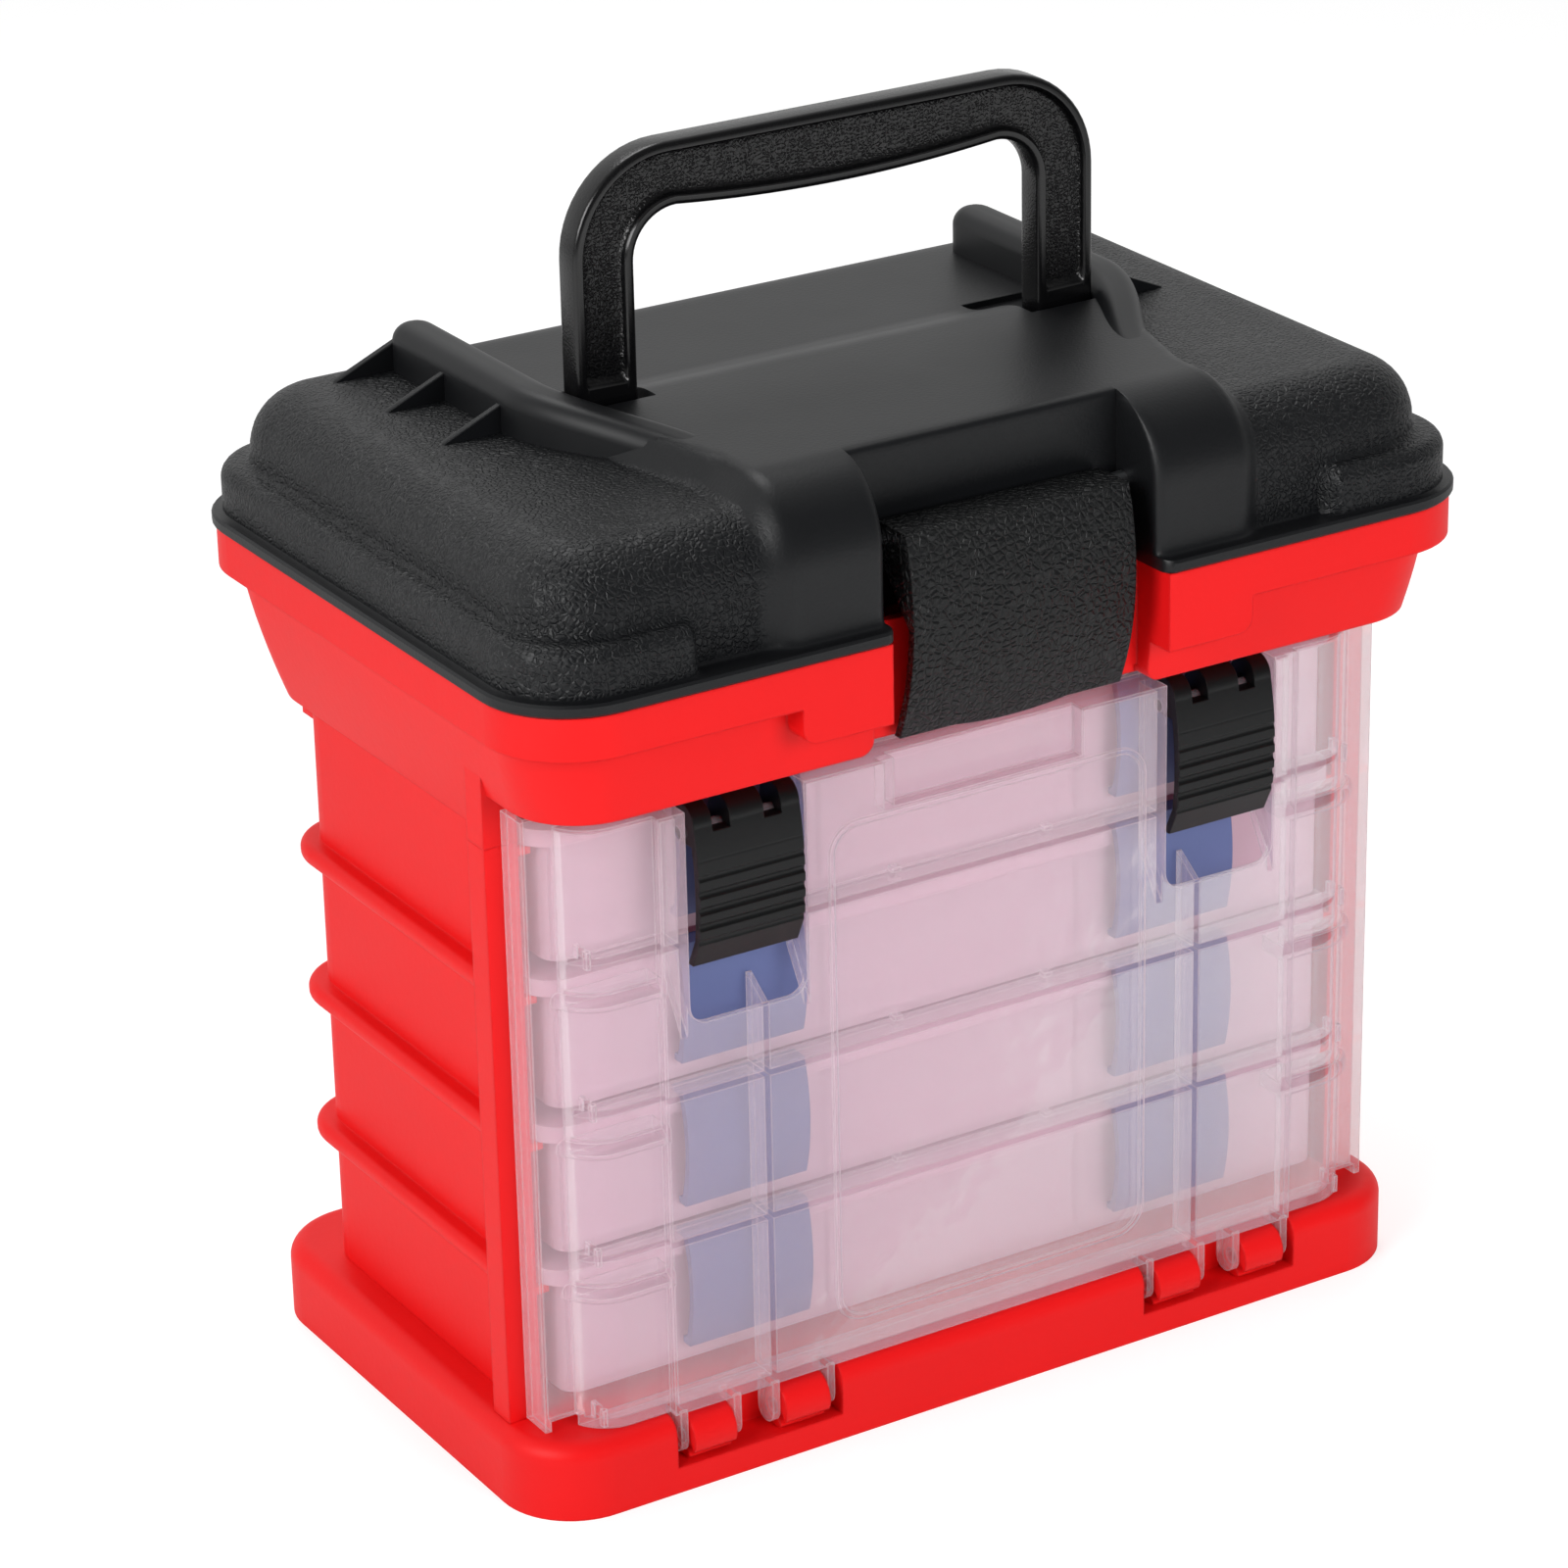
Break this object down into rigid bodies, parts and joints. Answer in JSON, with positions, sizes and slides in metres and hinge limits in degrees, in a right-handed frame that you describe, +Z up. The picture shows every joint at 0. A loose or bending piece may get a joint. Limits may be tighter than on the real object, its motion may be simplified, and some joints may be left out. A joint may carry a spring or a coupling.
{
  "type": "tackle box",
  "caption": "Upright tackle box: flared top compartment under a hinged lid with folding handle, clear front door over stacked pull-out organizers, snap latches.",
  "frame": {"origin": "underside of the plinth, where its two underside ribs cross, under the middle of the lid's brim", "axes": "+X to the right seen from the front, +Y to the back, +Z up; the door and main latch face -Y"},
  "size_m": [0.27, 0.1838, 0.3175],
  "materials": {
    "red_case": "satin moulded polypropylene",
    "black_lid": "leather grain moulded polypropylene",
    "black_handle": "glossy rim, grained web",
    "black_latch": "leather grain moulded polypropylene",
    "clear_door": "translucent polypropylene",
    "clear_organizer": "translucent polypropylene",
    "blue_latch": "satin moulded",
    "steel_pin": "drawn wire"
  },
  "bodies": {
    "case": {"base_plate": "red_case", "cabinet_walls": "red_case", "top_tub": "red_case", "lid_hinge_pins": "steel_pin"},
    "lid": {"lid": "black_lid", "main_latch_pin": "steel_pin"},
    "handle": {"handle": "black_handle"},
    "main_latch": {"main_latch": "black_latch"},
    "door": {"door": "clear_door"},
    "door_latch_left": {"door_latch_left": "black_latch"},
    "door_latch_right": {"door_latch_right": "black_latch"},
    "organizer_1": {"organizer_1_tray": "clear_organizer", "organizer_1_lid": "clear_organizer", "organizer_1_dividers": "clear_organizer", "organizer_1_latch_left": "blue_latch", "organizer_1_latch_right": "blue_latch"},
    "organizer_2": {"organizer_2_tray": "clear_organizer", "organizer_2_lid": "clear_organizer", "organizer_2_dividers": "clear_organizer", "organizer_2_latch_left": "blue_latch", "organizer_2_latch_right": "blue_latch"},
    "organizer_3": {"organizer_3_tray": "clear_organizer", "organizer_3_lid": "clear_organizer", "organizer_3_dividers": "clear_organizer", "organizer_3_latch_left": "blue_latch", "organizer_3_latch_right": "blue_latch"},
    "organizer_4": {"organizer_4_tray": "clear_organizer", "organizer_4_lid": "clear_organizer", "organizer_4_dividers": "clear_organizer", "organizer_4_latch_left": "blue_latch", "organizer_4_latch_right": "blue_latch"}
  },
  "joints": [
    {"name": "lid_hinge", "type": "hinge", "parent": "case", "child": "lid", "pos_m": [0, 0.0915, 0.2132], "axis": [-1, 0, 0], "range_deg": [0, 100]},
    {"name": "handle_fold", "type": "hinge", "parent": "lid", "child": "handle", "pos_m": [0, -0.0016, 0.2545], "axis": [-1, 0, 0], "range_deg": [0, 90]},
    {"name": "main_latch_swing", "type": "hinge", "parent": "lid", "child": "main_latch", "pos_m": [0, -0.0696, 0.2353], "axis": [-1, 0, 0], "range_deg": [0, 85]},
    {"name": "door_hinge", "type": "hinge", "parent": "case", "child": "door", "pos_m": [0, -0.0655, 0.013], "axis": [1, 0, 0], "range_deg": [0, 90]},
    {"name": "door_latch_left_swing", "type": "hinge", "parent": "door", "child": "door_latch_left", "pos_m": [-0.0684, -0.0647, 0.1718], "axis": [-1, 0, 0], "range_deg": [0, 60]},
    {"name": "door_latch_right_swing", "type": "hinge", "parent": "door", "child": "door_latch_right", "pos_m": [0.0684, -0.0647, 0.1718], "axis": [-1, 0, 0], "range_deg": [0, 60]},
    {"name": "organizer_1_slide", "type": "slide", "parent": "case", "child": "organizer_1", "axis": [0, -1, 0], "range_m": [0, 0.026]},
    {"name": "organizer_2_slide", "type": "slide", "parent": "case", "child": "organizer_2", "axis": [0, -1, 0], "range_m": [0, 0.09]},
    {"name": "organizer_3_slide", "type": "slide", "parent": "case", "child": "organizer_3", "axis": [0, -1, 0], "range_m": [0, 0.09]},
    {"name": "organizer_4_slide", "type": "slide", "parent": "case", "child": "organizer_4", "axis": [0, -1, 0], "range_m": [0, 0.09]}
  ],
  "couplings": [
    {"joint": "organizer_1_slide", "follows": "door_hinge", "m_per_rad": 0.0165},
    {"joint": "organizer_2_slide", "follows": "door_hinge", "m_per_rad": 0.0572},
    {"joint": "organizer_3_slide", "follows": "door_hinge", "m_per_rad": 0.0572},
    {"joint": "organizer_4_slide", "follows": "door_hinge", "m_per_rad": 0.0572}
  ]
}
